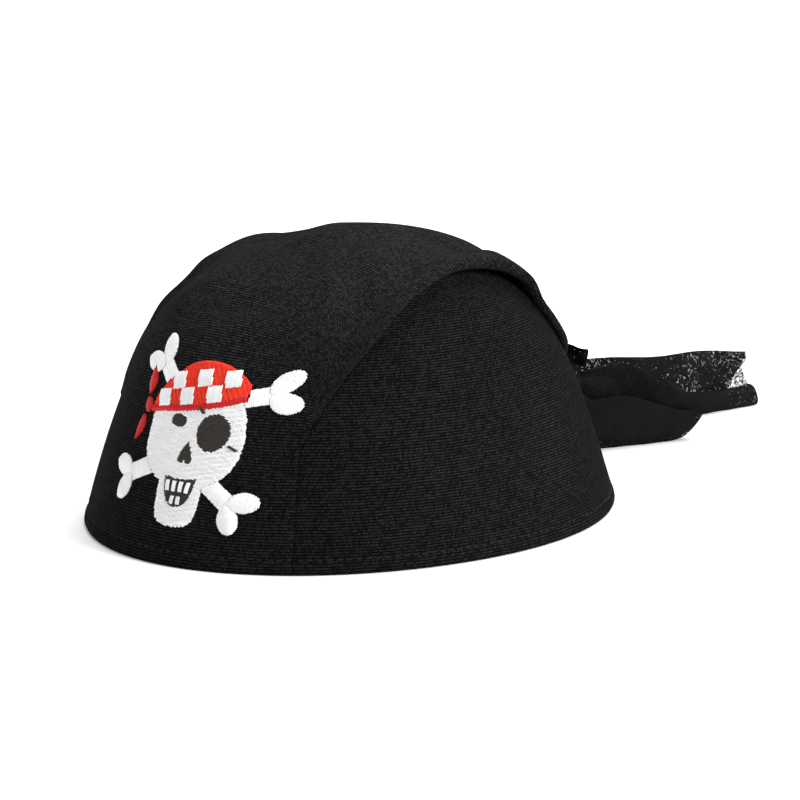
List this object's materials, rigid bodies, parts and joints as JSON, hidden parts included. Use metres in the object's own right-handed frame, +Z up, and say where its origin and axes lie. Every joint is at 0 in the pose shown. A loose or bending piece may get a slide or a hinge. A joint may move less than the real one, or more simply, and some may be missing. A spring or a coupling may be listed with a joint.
{
  "type": "pirate hat",
  "caption": "Child's pirate hat: a stiffened black cloth dome styled as a tied bandana, folded over at the sides, with a back knot, loose tails and an embroidered skull and bones on the brow.",
  "frame": {"origin": "centre of the head opening, on the plane the rim stands on", "axes": "+Z up to the crown, -Y to the front where the motif is, +X to the wearer's left; the tails run towards +Y"},
  "size_m": [0.166, 0.3161, 0.095],
  "materials": {
    "black_cloth": "coarse plain-weave black cotton, matt",
    "sheer_cloth": "sheer black voile in folded layers",
    "stiff_felt": "stiff moulded non-woven felt",
    "lining_cloth": "smooth thin black lining",
    "black_tape": "ribbed black sweatband tape",
    "backing_sheet": "thin non-woven embroidery backing",
    "white_thread": "glossy white embroidery thread",
    "red_thread": "glossy red embroidery thread",
    "dark_thread": "charcoal embroidery thread"
  },
  "bodies": {
    "hat": {"crown_panel": "black_cloth", "side_panel_left": "black_cloth", "side_panel_right": "black_cloth", "crown_stiffener": "stiff_felt", "side_stiffener_left": "stiff_felt", "side_stiffener_right": "stiff_felt", "lining": "lining_cloth", "sweatband": "black_tape", "turned_hem": "black_cloth", "knot": "sheer_cloth", "knot_flap": "sheer_cloth", "motif_backing": "backing_sheet", "skull": "white_thread", "bone_upper_left": "white_thread", "bone_upper_right": "white_thread", "bone_lower_left": "white_thread", "bone_lower_right": "white_thread", "scarf_check_1": "white_thread", "scarf_check_2": "white_thread", "scarf_check_3": "white_thread", "scarf_check_4": "white_thread", "scarf_check_5": "white_thread", "scarf_check_6": "white_thread", "tooth_upper_1": "white_thread", "tooth_upper_2": "white_thread", "tooth_upper_3": "white_thread", "tooth_upper_4": "white_thread", "tooth_lower_1": "white_thread", "tooth_lower_2": "white_thread", "scarf_band": "red_thread", "scarf_knot": "red_thread", "scarf_end_upper": "red_thread", "scarf_end_lower": "red_thread", "eye_socket": "dark_thread", "eye_patch": "dark_thread", "nose_hole": "dark_thread", "mouth": "dark_thread", "patch_strap_upper": "dark_thread", "patch_strap_lower": "dark_thread"},
    "tail_left_root": {"tail_left_neck": "sheer_cloth"},
    "tail_left_end": {"tail_left": "sheer_cloth"},
    "tail_right_root": {"tail_right_neck": "sheer_cloth"},
    "tail_right_end": {"tail_right": "sheer_cloth"}
  },
  "joints": [
    {"name": "tail_left_sway", "type": "hinge", "parent": "hat", "child": "tail_left_root", "pos_m": [0.008, 0.1131, 0.024], "axis": [0, 0, -1], "range_deg": [0, 45]},
    {"name": "tail_left_lift", "type": "hinge", "parent": "tail_left_root", "child": "tail_left_end", "pos_m": [0.008, 0.1131, 0.024], "axis": [0.9063, -0.4226, 0], "range_deg": [-55, 60]},
    {"name": "tail_right_sway", "type": "hinge", "parent": "hat", "child": "tail_right_root", "pos_m": [-0.0075, 0.11345, 0.024], "axis": [0, 0, 1], "range_deg": [0, 45]},
    {"name": "tail_right_lift", "type": "hinge", "parent": "tail_right_root", "child": "tail_right_end", "pos_m": [-0.0075, 0.11345, 0.024], "axis": [0.9816, -0.1908, 0], "range_deg": [-55, 60]}
  ]
}
